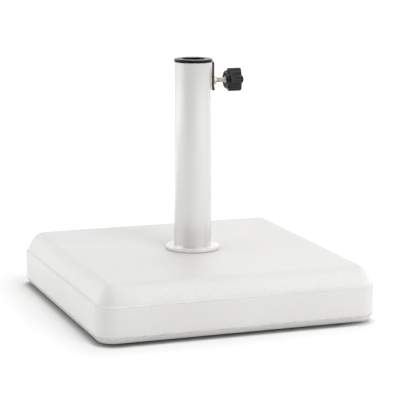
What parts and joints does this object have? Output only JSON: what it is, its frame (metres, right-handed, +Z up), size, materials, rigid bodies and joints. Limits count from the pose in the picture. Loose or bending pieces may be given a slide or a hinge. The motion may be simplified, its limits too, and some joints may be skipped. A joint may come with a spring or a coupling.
{
  "type": "parasol base",
  "caption": "Square domed concrete parasol base with an upright steel tube, plastic reducer sleeves and a hooked clamp screw with a star knob that grips the pole.",
  "frame": {"origin": "on the floor, under the middle of the block and on the pole socket's axis", "axes": "+Z up along the pole socket, +X towards the clamp knob, -Y towards the viewer's side of the block"},
  "size_m": [0.45, 0.45, 0.395],
  "materials": {
    "cast_concrete": "matte",
    "white_powder_coat": "satin",
    "black_plastic": "satin",
    "dark_steel": "satin",
    "zinc_steel": "satin",
    "grey_plastic": "matte",
    "rubber": "matte",
    "white_plastic": "satin"
  },
  "bodies": {
    "base": {"concrete_block": "cast_concrete", "foot_front_left": "rubber", "foot_front_right": "rubber", "foot_back_left": "rubber", "foot_back_right": "rubber", "bolt_sleeve": "grey_plastic", "anchor_bolt": "zinc_steel", "anchor_lock_washer": "zinc_steel", "anchor_washer": "zinc_steel", "foot_weld_nut": "zinc_steel", "foot_plate": "white_powder_coat", "pole_tube": "white_powder_coat", "pole_seat_cup": "black_plastic", "outer_reducer": "black_plastic", "inner_reducer": "black_plastic", "clamp_clip": "dark_steel", "clamp_nut": "zinc_steel"},
    "clamp_pad": {"pressure_pad": "white_plastic"},
    "knob": {"clamp_bolt": "zinc_steel", "star_knob": "black_plastic", "knob_cap": "black_plastic"}
  },
  "joints": [
    {"name": "clamp_travel", "type": "slide", "parent": "base", "child": "clamp_pad", "axis": [1, 0, 0], "range_m": [-0.0125, 0.00375]},
    {"name": "knob_turn", "type": "hinge", "parent": "clamp_pad", "child": "knob", "pos_m": [0.0678, 0, 0.3595], "axis": [1, 0, 0], "range_deg": [-3601, 1081]}
  ],
  "couplings": [
    {"joint": "knob_turn", "follows": "clamp_travel", "rad_per_m": 5026.5}
  ]
}
